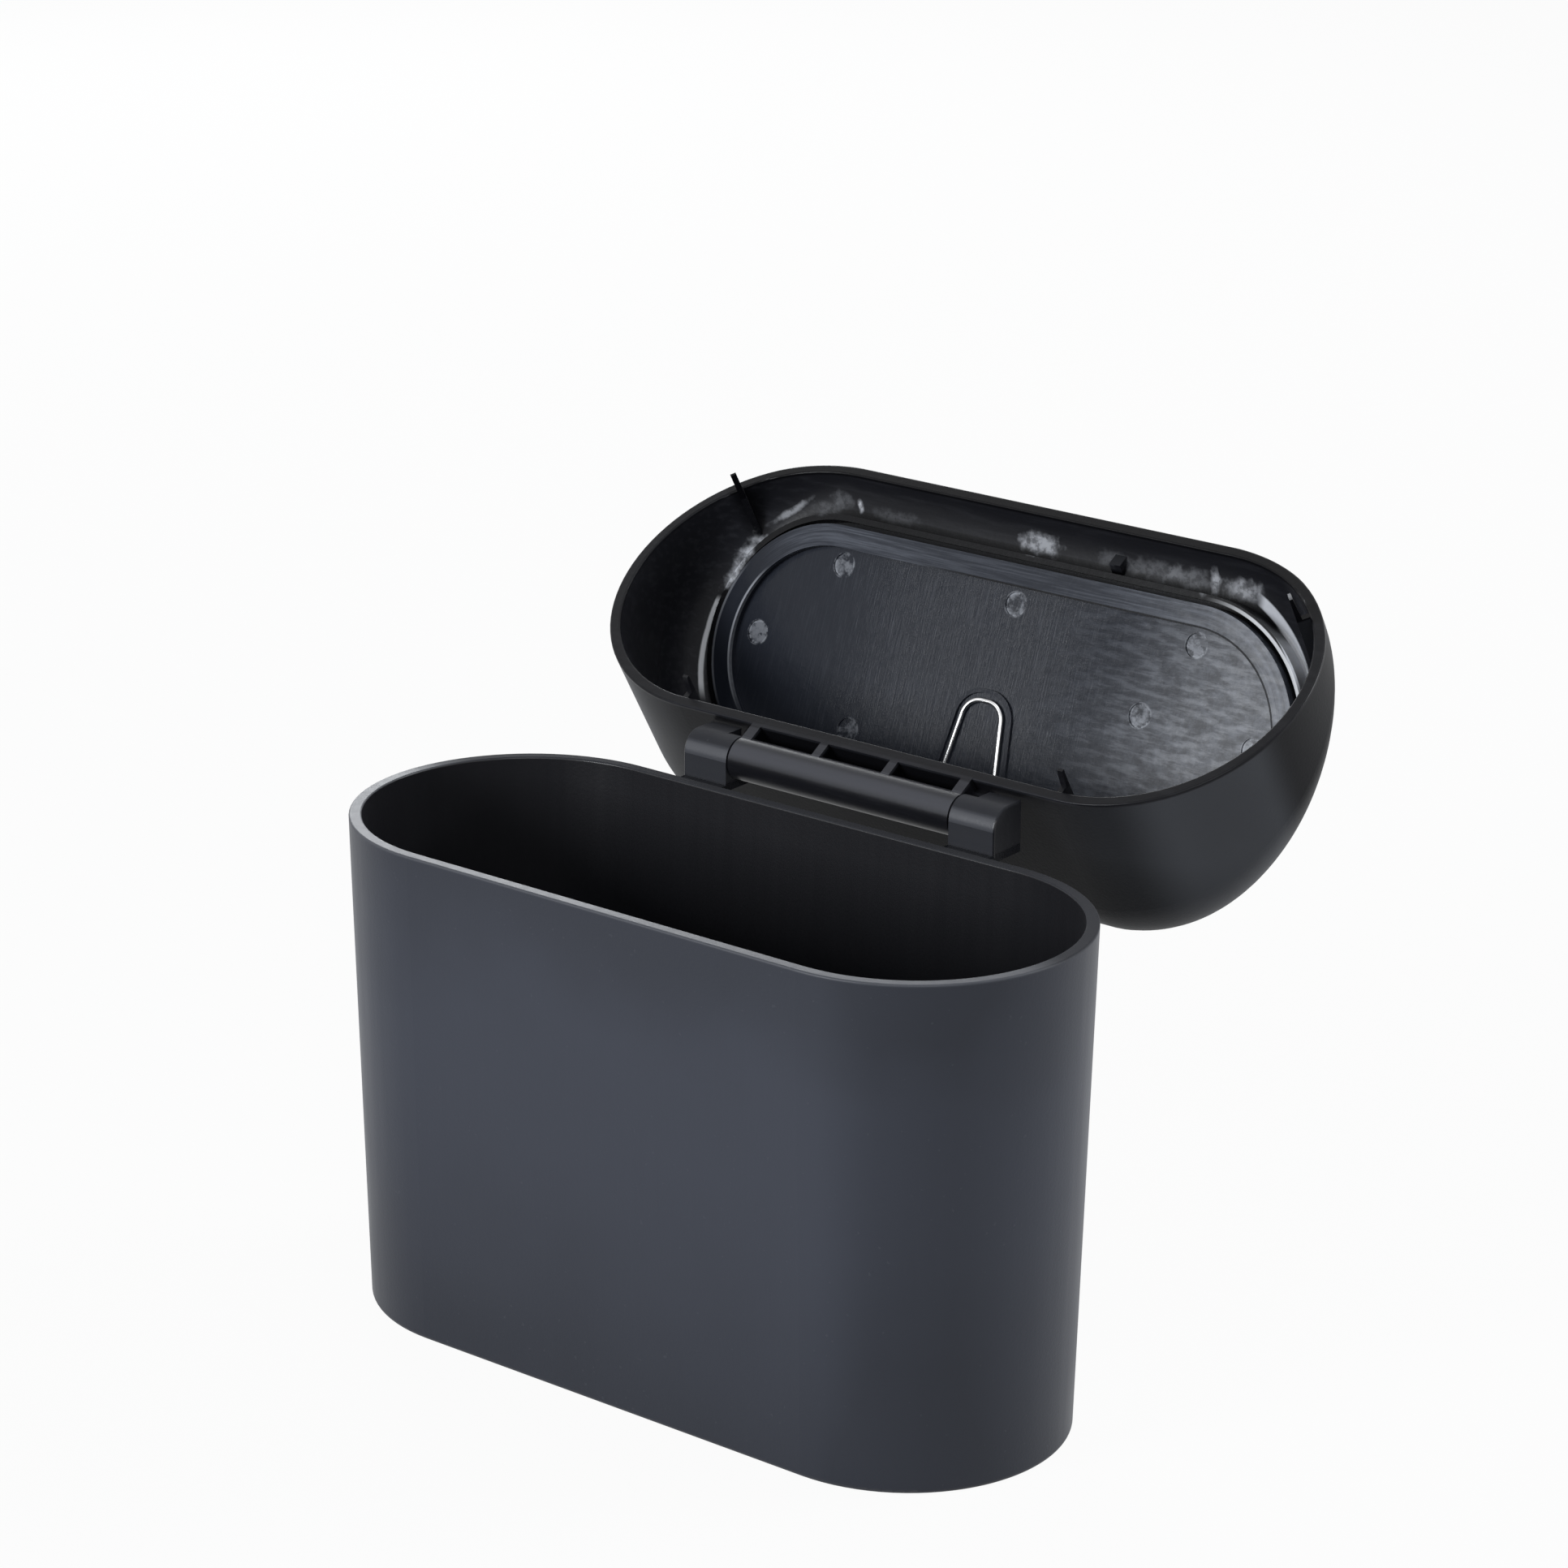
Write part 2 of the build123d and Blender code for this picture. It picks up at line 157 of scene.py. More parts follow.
def makeCamera(view):
    az, el, roll = (math.radians(view[key]) for key in ("azimuth", "elevation", "roll"))
    back = Vector((math.sin(az) * math.cos(el), -math.cos(az) * math.cos(el), math.sin(el)))
    level = Vector((math.cos(az), math.sin(az), 0))
    upright = back.cross(level)
    right = level * math.cos(roll) + upright * math.sin(roll)
    up = back.cross(right)
    data = bpy.data.cameras.new("camera")
    data.lens = view["lens"]
    data.sensor_width = view["sensor"]
    camera = addObject("camera", data)
    turned = Matrix((right, up, back)).transposed().to_4x4()
    camera.matrix_world = Matrix.Translation(view["place"]) @ turned
    bpy.context.scene.camera = camera


# floor, world and lamps
stageSet = {
    "floorSize": 6.0,
    "floorColour": rgb(0.65, 0.65, 0.65),
    "floorRoughness": 0.9,
    "floorLift": (0.95, 0.5),  # share of the floor that is plain white, to the camera and in reflections
    "white": rgb(1, 1, 1),
    "skyLight": 0.06,  # sky as a lamp
    "lampColour": (0.94, 0.97, 1.0),
    "lamps": [
        # name, place, target, size, watts
        ("keyLamp", (-0.375, -1.37, 0.47), (0, 0.03, 0.08), 0.5, 15),
        ("fillLamp", (0.835, -0.965, 0.83), (0, 0.03, 0.08), 0.6, 4.5),
        ("topLamp", (0.2, 0.2, 1.7), (0, 0.04, 0.08), 0.7, 3),
        ("backLamp", (-1.08, 0.94, 0.59), (0, 0.03, 0.08), 0.6, 8),
        ("sideLamp", (0.997, 1.027, 0.593), (0, 0.03, 0.08), 0.6, 14),
    ],
}


def makeFloor(stage):
    half = stage["floorSize"] / 2
    corners = [(-half, -half, 0), (half, -half, 0), (half, half, 0), (-half, half, 0)]
    mesh = bpy.data.meshes.new("floor")
    mesh.from_pydata(corners, [], [(0, 1, 2, 3)])
    addObject("floor", mesh)
    paint = Finish(
        "floorPaint",
        Base_Color=stage["floorColour"],
        Roughness=stage["floorRoughness"],
        Specular_IOR_Level=0.0,
    )
    lift = paint.node("Emission", {}, {"Color": stage["white"], "Strength": 1.0})
    direct, mirrored = paint.whiteRays()
    toCamera, toMirror = stage["floorLift"]
    white = direct * toCamera + mirrored * toMirror
    shade = paint.node("MixShader", {}, {0: white, 1: Val(paint.shader.outputs[0]), 2: lift})
    plug(paint.own("OUTPUT_MATERIAL").inputs["Surface"], shade)
    mesh.materials.append(paint.material)


def makeWorld(stage):
    world = bpy.data.worlds.new("studio")
    bpy.context.scene.world = world
    world.use_nodes = True
    studio = NodeTree(world.node_tree)
    sky = studio.own("BACKGROUND")
    direct, mirrored = studio.whiteRays()
    plug(sky.inputs["Color"], stage["white"])
    plug(sky.inputs["Strength"], (direct + mirrored) * (1 - stage["skyLight"]) + stage["skyLight"])
    bpy.context.scene.view_settings.view_transform = "Standard"


def makeLamps(stage):
    for name, place, target, size, watts in stage["lamps"]:
        data = bpy.data.lights.new(name, "AREA")
        data.shape = "SQUARE"
        data.size = size
        data.energy = watts
        data.color = stage["lampColour"]
        lamp = addObject(name, data)
        lamp.location = place
        lamp.rotation_euler = (Vector(target) - Vector(place)).to_track_quat("-Z", "Y").to_euler()


makeCamera(cameraSet)
makeFloor(stageSet)
makeWorld(stageSet)
makeLamps(stageSet)
print("camera and stage set")

# where the lid's own directions lie while it stands open, in the row frame
hinges = {joint["name"]: joint for joint in frame["joints"]}
lidSet = {
    "slope": 38.5,  # degrees, sloped top against the lid's rim
    "rim": 0.1003,  # closed lid's rim over the floor
    "topRise": 0.0324,  # sloped top over the rim, at mid width
    "endCentre": 0.0452,  # centre of the round ends
}
lidTurn = math.radians(hinges["lid_hinge"]["range_deg"][1])
lidSlope = math.radians(lidSet["slope"])
lidPin = np.array(hinges["lid_hinge"]["pos_m"])
flapPin = np.array(hinges["flap_hinge"]["pos_m"])


def openTurn(vector):
    # a direction of the closed lid, turned back about X to the open stop
    x, y, z = vector
    c, s = math.cos(lidTurn), math.sin(lidTurn)
    return np.array((x, y * c + z * s, z * c - y * s))


upSlope = openTurn((0, math.cos(lidSlope), math.sin(lidSlope)))
outOfTop = openTurn((0, -math.sin(lidSlope), math.cos(lidSlope)))


class Places:
    # Object coordinates in mm: x, y and z of the row, then the closed lid's y, its z over the rim,
    # and the slope and depth of its sloped top
    def __init__(self, paint):
        self.paint = paint
        coords = paint.node("TexCoord", {}, {}, out=None)
        self.x, self.y, self.z = self.split(coords["Object"], mm)
        self.nx, self.ny, self.nz = self.split(coords["Normal"], 1)
        c, s = math.cos(lidTurn), math.sin(lidTurn)
        self.pinY, self.pinZ = mm * lidPin[1], mm * (lidPin[2] - lidSet["rim"])
        backY, backZ = self.y - mm * lidPin[1], self.z - mm * lidPin[2]
        self.lidY = backY * c - backZ * s + self.pinY
        self.lidZ = backY * s + backZ * c + self.pinZ
        self.lidNY = self.ny * c - self.nz * s
        self.lidNZ = self.ny * s + self.nz * c
        over = self.lidZ - mm * lidSet["topRise"]
        self.slope = self.lidY * math.cos(lidSlope) + over * math.sin(lidSlope)
        self.depth = self.lidY * math.sin(lidSlope) - over * math.cos(lidSlope)
        # normal's share out of the sloped top
        self.rise = self.lidNZ * math.cos(lidSlope) - self.lidNY * math.sin(lidSlope)

    def split(self, vector, scale):
        apart = self.paint.node("SeparateXYZ", {}, {0: vector}, out=None)
        return [apart[axis] * scale for axis in "XYZ"]

    def vector(self, a, b, c):
        return self.paint.node("CombineXYZ", {}, {0: a, 1: b, 2: c})

    def length(self, a, b):
        return self.paint.node("VectorMath", {"operation": "LENGTH"}, {0: self.vector(a, b, 0)}, out=1)

    def toward(self, x, y, z):
        # how far the normal points along a direction of the row
        return self.nx * x + self.ny * y + self.nz * z

    def noise(self, vector, scale, detail=3.0, rough=0.55):
        values = {"Vector": vector, "Scale": scale, "Detail": detail, "Roughness": rough}
        return self.paint.node("TexNoise", {"noise_dimensions": "3D"}, values)

    def ramp(self, value, low, high):
        # 0 below low, 1 above high, smooth between; low may be the larger one
        values = {"Value": value, "From Min": low, "From Max": high}
        return self.paint.node("MapRange", {"interpolation_type": "SMOOTHSTEP"}, values)

    def window(self, value, rising, falling):
        # 1 between two ramps, each given as its pair
        return self.ramp(value, *rising) * self.ramp(value, *falling)

    def around(self, value, middle, reach, core=0.0):
        # 1 within core of the middle, falling to 0 at reach on both sides
        return self.ramp((value - middle).absolute(), reach, core)

    def patch(self, fromMiddle, lidY):
        # a ramp along the length, the same at both ends, times one across the closed lid
        return self.ramp(self.x.absolute(), *fromMiddle) * self.ramp(self.lidY, *lidY)

    def out(self, ring):
        # distance from the flap's spine in the sloped plane, so that a fixed value runs round the flap
        return self.length((self.x.absolute() - ring["straight"]).clamp(0, mm), self.slope - ring["middle"])

    def blot(self, x, slope, turn, along, across, wobble, fade):
        # 1 inside an ellipse on the sloped plane, with an edge that the wobble makes ragged
        c, s = math.cos(math.radians(turn)), math.sin(math.radians(turn))
        u = (self.x - x) * (c / along) + (self.slope - slope) * (s / along)
        v = (self.slope - slope) * (c / across) - (self.x - x) * (s / across)
        return self.ramp(self.length(u, v) + wobble, *fade)


def atLeast(floor, mask):
    # the mask, squeezed into the span from floor to 1
    return floor + (1 - floor) * mask


# In the dictionaries of the paints a ramp is its low and high, a window or a patch is two ramps,
# a band is its middle, reach and core, and a noise is its scale, detail and roughness

# moulded charcoal plastic of the bin
binSet = {
    "outside": rgb(0.0405, 0.046, 0.0635),
    "low": rgb(0.022, 0.025, 0.035),  # painted shade towards the base, under the rim and at the right front corner; also the tone of the clouds and flow marks
    # painted shade: the same plastic, darker inside the bin
    "inside": rgb(0.0138, 0.0138, 0.0162),
    "edgeHighlight": rgb(0.075, 0.079, 0.092),  # painted highlight along the rim
    "dust": rgb(0.10, 0.105, 0.12),
    # painted shade on the knuckles and on the shelf behind the rear wall
    "knuckle": rgb(0.013, 0.0135, 0.0165),
    "highlight": rgb(0.085, 0.088, 0.100),  # painted highlight on the crown of the knuckles
    "specular": 0.32,
    "roughness": (0.38, 0.33),  # outside, inside
    "bumpHeight": 0.00004,
    "endCentre": 46.0,  # centre of the round ends
    "midHeight": 50,
    "inward": (0.5, -0.5),  # of the way a face looks, outwards being positive
    "rimZ": (99.3, 100.0),
    "knuckleY": (33.9, 34.2),
    "knuckleZ": (92, 96),
    "crownWay": (0, -0.94, 0.34),  # direction in which the crown faces
    "crown": (0.90, 1.0),
    "crownY": (35.5, 36.5),
    "cornerNX": (0.1, 0.5),
    "sideWay": (0.786, 0.618, 0),  # level direction towards the right rear
    "corner": (0.62, 0.2),
    "footZ": (60, -10),
    "neckZ": (70, 102),
    "neckShare": 0.77,
    "cornerShare": 0.5,
    "drift": 30,  # how far the clouds move the fades up and down
    "rearRimY": (0, 20),
    "rightRimX": (20, 50),
    "rightRimY": (-12, 2),
    "farRimShare": 0.9,
    "cloud": (0.035, 2),
    "flow": (0.35, 3),
    "flowStretch": 0.06,  # along z, which draws the flow marks out upwards
    "grain": (1.6, 2),
    "speckNoise": (0.9, 1),
    "speck": (0.735, 0.79),
    "speckShare": 0.2,
    "veil": (0.25, 0.15),  # share of low that the clouds and the flow marks add
    "wear": {"flow": 0.10, "cloud": 0.08, "rim": 0.1, "farRim": 0.4, "knuckle": -0.1},  # added roughness
    "relief": (0.6, 0.5),  # grain and flow marks in the bump
}


def binPlastic(look):
    paint = Finish("bodyPlastic", Specular_IOR_Level=look["specular"])
    at = Places(paint)
    fromEnd = at.x - at.x.clamp(-look["endCentre"], look["endCentre"])
    facing = fromEnd * at.nx + at.y * at.ny + (at.z - look["midHeight"]) * at.nz
    inner = at.ramp(facing, *look["inward"])
    # knuckles and the shelf behind the rear wall, which get painted shade
    knuckle = at.ramp(at.y, *look["knuckleY"]) * at.ramp(at.z, *look["knuckleZ"])
    crown = at.ramp(at.toward(*look["crownWay"]), *look["crown"]) * at.ramp(at.y, *look["crownY"]) * knuckle
    whole = at.vector(at.x, at.y, at.z)
    cloud = at.noise(whole, *look["cloud"])
    flow = at.noise(at.vector(at.x, at.y, at.z * look["flowStretch"]), *look["flow"])
    grain = at.noise(whole, *look["grain"])
    specks = at.ramp(at.noise(whole, *look["speckNoise"]), *look["speck"])
    # painted highlight along the rim, with painted shade on its rear and right end
    rim = at.ramp(at.z, *look["rimZ"]) * (1 - inner)
    rightRim = at.ramp(at.x, *look["rightRimX"]) * at.ramp(at.y, *look["rightRimY"])
    farRim = rim * (at.ramp(at.y, *look["rearRimY"]) + rightRim).clamp()
    # painted shade: darker at the foot, under the rim and where the right end turns to the front
    height = at.z + (cloud - 0.5) * look["drift"]
    corner = at.ramp(at.nx, *look["cornerNX"]) * at.ramp(at.toward(*look["sideWay"]), *look["corner"])
    neck = at.ramp(height, *look["neckZ"]) * look["neckShare"]
    low = (at.ramp(height, *look["footZ"]) + neck + corner * look["cornerShare"]).clamp()
    cloudVeil, flowVeil = look["veil"]
    tone = paint.mix(low, look["outside"], look["low"])
    tone = paint.mix(inner, tone, look["inside"])
    tone = paint.mix(rim, tone, look["edgeHighlight"])
    tone = paint.mix(farRim * look["farRimShare"], tone, look["inside"])
    tone = paint.mix(knuckle, tone, look["knuckle"])
    tone = paint.mix(crown, tone, look["highlight"])
    tone = paint.mix(specks * look["speckShare"] * (1 - inner), tone, look["dust"])
    tone = paint.mix((cloud * cloudVeil + flow * flowVeil) * (1 - inner), tone, look["low"])
    paint.feed("Base Color", tone)
    outer, within = look["roughness"]
    wear = look["wear"]
    rough = outer + inner * (within - outer) + (flow - 0.5) * wear["flow"] + (cloud - 0.5) * wear["cloud"]
    rough = rough + rim * wear["rim"] + farRim * wear["farRim"] + knuckle * wear["knuckle"]
    paint.feed("Roughness", rough)
    grainRelief, flowRelief = look["relief"]
    paint.bump(grain * grainRelief + flow * flowRelief, look["bumpHeight"])
    return paint


# flap's stadium outline in the plane of the sloped top, in mm
ringSet = {
    "middle": -8.65,  # slope at the flap's spine
    "straight": 43.63,  # half length of the spine
    "panel": 21.77,  # out at the edge of the set-back panel
    "band": 26.27,  # out at the edge of the band
    "collar": (27.27, 28.47),
    "collarTop": 6.6,  # depth
}

# lid: satin outside, darker inside, with pale smudges and painted reflections in the corner round the flap
lidSkin = {
    "outside": rgb(0.017, 0.018, 0.021),
    "paintedSheen": rgb(0.060, 0.063, 0.071),  # painted sheen outside, round the rear of the ends
    "inside": rgb(0.0150, 0.0154, 0.0190),
    "shadeTone": rgb(0.0035, 0.0035, 0.0045),  # painted shade: pockets of the leaf, rim, collar, front wall, beside the fins, behind the hinge and at the tips of the ends
    # pale drag marks inside, and painted highlights on the leaf's edge and the barrel's crown
    "wearAndHighlight": rgb(0.09, 0.092, 0.105),
    # pale smudges and painted reflections
    "smudgeAndReflection": rgb(0.60, 0.615, 0.66),
    "glint": rgb(0.88, 0.89, 0.92),  # painted highlights on thin edges
    "specular": 0.13,
    "roughness": (0.46, 0.30),  # outside, inside
    "wear": (0.1, 0.2),  # roughness added by clouds and by the smudges and painted reflections
    "bumpHeight": 0.00005,
    "relief": (0.6, 0.8),  # grain outside and mottle inside, in the bump
    "core": 12,  # lidZ of the point that the inner faces look to
    "inward": (0.5, -0.5),  # of the way a face looks, outwards being positive
    "rimZ": (0.9, 0.4),
    "leafY": (35.4, 36.0),
    "fittingsDepth": ((2.0, 2.3), (12.5, 12)),  # seat ring and collar
    "fittingsOut": (29.6, 29.2),
    "fittingsRise": (0.35, 0.15),
    "cloud": (0.04, 2),
    "cloudShare": 0.35,
    "grain": (1.6, 2),
    "mottle": (0.55, 4, 0.65),
    "drag": (0.6, 3),
    "dragStretch": (0.12, 1.4),
    "dragged": (0.45, 0.75),
    "dragShare": 0.15,
    # where the painted sheen lies outside
    "sheenPatch": ((55, 67), (3, 14)),
    # painted shade: the ramps of each dark place, and at the end their shares
    "shades": {
        "pocketY": ((35.0, 35.2), (38.4, 38.0)),
        "pocketZ": ((0.5, 1.0), (8.2, 7.6)),
        "pocketHalf": (25.5, 25.1),
        "collarBand": (0.8, 0.66),  # reach and core, from the collar's middle
        "collarDepth": (7.2, 6.9),
        "groove": (29.2, 0.9, 0.5),
        "grooveDepth": (3.2, 2.8),
        "beforeLeaf": (34.6, 34.2),
        "barrel": (4.6, 4.4),  # distance from the pin
        "crownWay": (0, -0.75, 0.66),  # direction in which the barrel's crown faces
        "crown": (0.90, 1.0),
        "frontWall": (-20, -29),
        "finAngle": 43,  # degrees round the end, from the length
        "byFin": (3.4, 1.0),  # reach and core
        "byFinY": (-8, -12),
        "rear": ((57, 40), (29, 32)),
        "tips": ((70, 78), (14, 6)),
        "share": {
            "rim": 0.6,
            "groove": 0.6,
            "barrel": 0.5,
            "frontWall": 0.4,
            "byFin": 0.6,
            "rear": 0.95,
            "tips": 0.9,
        },
        "litEdgeShare": (0.35, 0.5),  # painted highlights on the leaf's edge and the barrel's crown
    },
    # pale smudges and painted reflections round the flap, and painted highlights on thin edges of the
    # collar, beside it and on the tips of the right fins
    "marks": {
        "wobble": (0.42, 2.5),
        "wobbleReach": 1.4,
        "fade": (1.1, 0.25),
        "thin": 0.35,  # least strength of a smudge
        "mottle": (0.36, 0.58),
        "aboveBand": (7.0, 6.7),
        # painted reflection in a crescent at the right end
        "crescent": (39.3, 1.35, 0.9),
        "crescentLean": 0.16,
        "crescentX": ((51.5, 54), (69, 65)),
        "crescentShare": (0.75, 0.3),  # plain, and added by the mottle
        "foot": (0.5, 0.6, 0.3),  # outside the collar
        "footX": (57, 61),
        "top": (0.36, 0.42, 0.25),  # from the collar's inner edge
        "topDepth": (-0.2, -0.05),  # from the collar's top
        "topX": (42, 56),
        "topShare": 0.75,
        "beside": (30.07, 0.5, 0.22),
        "besideX": (-60, -64),
        "besideSlope": ((-15.5, -13.5), (7, 3)),
        "besideBend": (8, 20, 0.05),  # start and longest run along the slope, and the bend per mm
        "tipZ": (-5.3, -5.6),  # painted highlight on the tips of the right fins
        "tipX": (0, 10),
        "tipShare": 0.35,
        "smudgeAndReflectionBlots": [
            # x, slope, turn in degrees, reach along and across, strength
            (0.3, -39.8, 0, 6.0, 2.5, 0.62),
            (17.0, -39.9, 0, 3.6, 1.9, 0.12),
            (28.0, -39.6, 0, 7.5, 2.5, 0.13),
            (36.5, -39.6, 0, 6.0, 2.5, 0.17),
            (41.7, -39.8, 80, 3.0, 1.4, 0.55),
            (48.5, -39.4, 0, 5.0, 2.5, 0.50),
            (-44.8, -39.6, 60, 1.6, 0.9, 0.9),
            (-49.0, -40.0, 0, 3.5, 2.0, 0.12),
            (-35.5, -38.9, 0, 7.0, 1.7, 0.07),
            (-52.5, -37.6, 0, 4.5, 1.9, 0.12),
            (-61.0, -35.5, -39.6, 6.4, 0.75, 0.45),
            (-69.3, -22.3, 110, 7.6, 2.6, 0.9),
        ],
    },
}


def lidShade(at, look, ring, out, inner, rim, barrel, fromEnd):
    share = look["share"]
    # painted shade in the leaf's pockets, on the rim, the collar and its groove, and on the barrel
    pocket = at.window(at.lidY, *look["pocketY"]) * at.window(at.lidZ, *look["pocketZ"])
    pocket = pocket * at.ramp(at.x.absolute(), *look["pocketHalf"])
    collar = at.around(out, sum(ring["collar"]) / 2, *look["collarBand"])
    collar = collar * at.ramp(at.depth, *look["collarDepth"])
    groove = at.around(out, *look["groove"]) * at.ramp(at.depth, *look["grooveDepth"])
    before = at.ramp(at.lidY, *look["beforeLeaf"])
    shade = pocket + (rim * share["rim"] + (collar + groove * share["groove"]) * inner) * before
    shade = shade + barrel * share["barrel"]
    # painted shade inside: on the front wall, and a soft shadow along each front fin
    fin = math.radians(look["finAngle"])
    acrossFin = fromEnd.absolute() * math.sin(fin) + at.lidY * math.cos(fin)
    byFin = at.around(acrossFin, 0, *look["byFin"]) * at.ramp(at.lidY, *look["byFinY"])
    front = at.ramp(at.lidY, *look["frontWall"])
    shade = shade + (front * share["frontWall"] + byFin * share["byFin"]) * inner
    # painted shade outside: behind the hinge and at the tips of the ends
    outer = at.patch(*look["rear"]) * share["rear"] + at.patch(*look["tips"]) * share["tips"]
    return (shade + outer * (1 - inner)).clamp()


# pale smudges and painted reflections round the flap, with a crescent of painted reflection at the right
# end
def lidSmudgesAndReflections(at, look, out, whole, mottle):
    wobble = (at.noise(whole, *look["wobble"]) - 0.5) * look["wobbleReach"]
    smudgeAndReflection = 0.0
    for *shape, strength in look["smudgeAndReflectionBlots"]:
        smudgeAndReflection = at.blot(*shape, wobble, look["fade"]) * strength + smudgeAndReflection
    smudgeAndReflection = smudgeAndReflection * atLeast(look["thin"], at.ramp(mottle, *look["mottle"]))
    crescent = at.around(out + at.x * look["crescentLean"], *look["crescent"])
    crescent = crescent * at.window(at.x, *look["crescentX"])
    plain, added = look["crescentShare"]
    return (smudgeAndReflection + crescent * (plain + added * mottle)) * at.ramp(at.depth, *look["aboveBand"])


# painted highlights on thin edges: the collar's top and foot, beside the band at the left end, and the tips
# of the right fins
def lidGlints(at, look, ring, out):
    collarIn, collarOut = ring["collar"]
    offset, *band = look["foot"]
    foot = at.around(out, collarOut + offset, *band) * at.ramp(at.x, *look["footX"])
    offset, *band = look["top"]
    topDepth = [ring["collarTop"] + step for step in look["topDepth"]]
    top = at.around(out, collarIn + offset, *band) * at.ramp(at.depth, *topDepth)
    top = top * at.ramp(at.x, *look["topX"]) * look["topShare"]
    start, most, bend = look["besideBend"]
    beside = at.around(out - (at.slope + start).clamp(0, most) * bend, *look["beside"])
    beside = beside * at.ramp(at.x, *look["besideX"]) * at.window(at.slope, *look["besideSlope"])
    tips = at.ramp(at.lidZ, *look["tipZ"]) * at.ramp(at.x, *look["tipX"]) * look["tipShare"]
    return (top + foot + beside) * at.ramp(at.depth, *look["aboveBand"]) + tips


def lidPlastic(look, ring):
    paint = Finish("lidPlastic", Specular_IOR_Level=look["specular"])
    shades, marks = look["shades"], look["marks"]
    at = Places(paint)
    ends = mm * lidSet["endCentre"]
    fromEnd = at.x - at.x.clamp(-ends, ends)
    facing = fromEnd * at.nx + at.lidY * at.lidNY + (at.lidZ - look["core"]) * at.lidNZ
    out = at.out(ring)
    leaf = at.ramp(at.lidY, *look["leafY"])
    rim = at.ramp(at.lidZ, *look["rimZ"])
    fittings = at.window(at.depth, *look["fittingsDepth"]) * at.ramp(out, *look["fittingsOut"])
    fittings = fittings * at.ramp(at.rise, *look["fittingsRise"])
    inner = (at.ramp(facing, *look["inward"]) + leaf + rim + fittings).clamp()
    barrel = at.ramp(at.length(at.lidY - at.pinY, at.lidZ - at.pinZ), *shades["barrel"])
    crown = at.ramp(at.toward(*shades["crownWay"]), *shades["crown"]) * barrel
    whole = at.vector(at.x, at.lidY, at.lidZ)
    cloud = at.noise(whole, *look["cloud"])
    grain = at.noise(whole, *look["grain"])
    mottle = at.noise(whole, *look["mottle"])
    stretchX, stretchSlope = look["dragStretch"]
    drag = at.noise(at.vector(at.x * stretchX, at.slope * stretchSlope, at.depth), *look["drag"])
    shade = lidShade(at, shades, ring, out, inner, rim, barrel, fromEnd)
    smudgeAndReflection = (lidSmudgesAndReflections(at, marks, out, whole, mottle) * inner).clamp()
    glint = (lidGlints(at, marks, ring, out) * inner).clamp()
    leafShare, crownShare = shades["litEdgeShare"]
    litEdge = (leaf * rim * leafShare + crown * crownShare).clamp()
    tone = paint.mix(at.patch(*look["sheenPatch"]), look["outside"], look["paintedSheen"])
    tone = paint.mix(cloud * look["cloudShare"], tone, look["outside"])
    tone = paint.mix(inner, tone, look["inside"])
    tone = paint.mix(at.ramp(drag, *look["dragged"]) * look["dragShare"] * inner, tone, look["wearAndHighlight"])
    tone = paint.mix(shade, tone, look["shadeTone"])
    tone = paint.mix(litEdge, tone, look["wearAndHighlight"])
    tone = paint.mix(smudgeAndReflection, tone, look["smudgeAndReflection"])
    paint.feed("Base Color", paint.mix(glint, tone, look["glint"]))
    outer, within = look["roughness"]
    cloudWear, blotWear = look["wear"]
    rough = outer + inner * (within - outer) + (cloud - 0.5) * cloudWear + smudgeAndReflection * blotWear
    paint.feed("Roughness", rough)
    grainRelief, mottleRelief = look["relief"]
    paint.bump(grain * (1 - inner) * grainRelief + mottle * inner * mottleRelief, look["bumpHeight"])
    return paint


